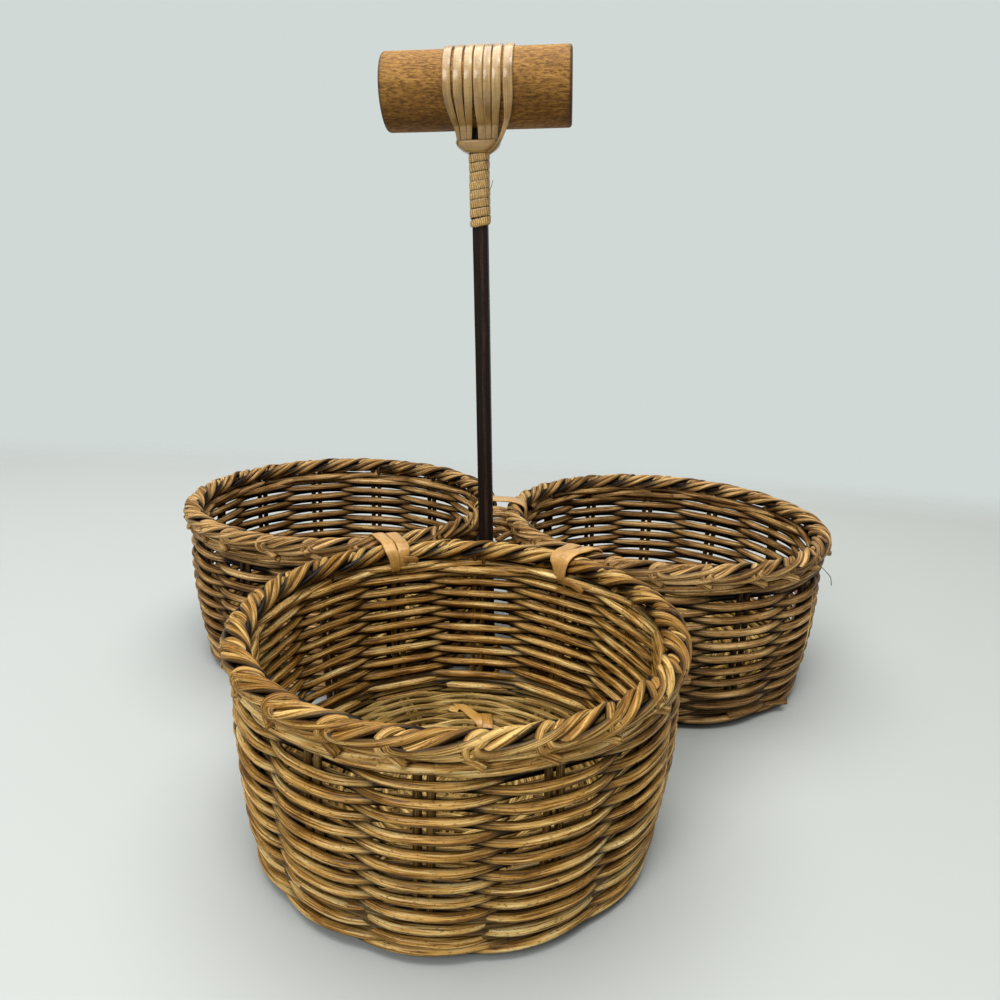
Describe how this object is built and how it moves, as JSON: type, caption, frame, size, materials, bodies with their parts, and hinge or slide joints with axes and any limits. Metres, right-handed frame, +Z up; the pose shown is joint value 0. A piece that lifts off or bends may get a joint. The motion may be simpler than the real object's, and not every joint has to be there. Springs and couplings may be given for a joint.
{
  "type": "wicker caddy basket",
  "caption": "Round woven open baskets tied rim to rim in a triangle round an upright post with a crosswise dowel grip, for carrying bottles, cutlery or condiments.",
  "frame": {"origin": "Centre of the overall bounding box, on the plane the baskets stand on.", "axes": "+Z up; the front basket lies towards -Y and the dowel grip runs along X."},
  "size_m": [0.3256, 0.3008, 0.2815],
  "materials": {
    "weaver": "round reed, golden tan, satin",
    "border": "round reed, light tan, satin",
    "waling": "round reed, tan, satin",
    "foot": "round reed, brown tan, matte",
    "floor": "round reed, brown tan, matte",
    "cane": "flat cane, straw, glossy",
    "tie": "flat cane, straw tan, glossy",
    "post": "dark stained wood, satin",
    "dowel": "honey brown wood, satin"
  },
  "bodies": {
    "root": {"front_foot": "foot", "front_floor": "floor", "front_wall": "weaver", "front_waling": "waling", "front_border": "border", "right_foot": "foot", "right_floor": "floor", "right_wall": "weaver", "right_waling": "waling", "right_border": "border", "left_foot": "foot", "left_floor": "floor", "left_wall": "weaver", "left_waling": "waling", "left_border": "border", "tie_front_left": "tie", "tie_front_right": "tie", "tie_back_pair": "tie", "floor_tie_front": "tie", "floor_tie_right": "tie", "floor_tie_left": "tie", "post": "post", "handle_dowel": "dowel", "handle_lashing": "cane", "lashing_collar": "cane", "post_binding": "cane"}
  },
  "joints": []
}
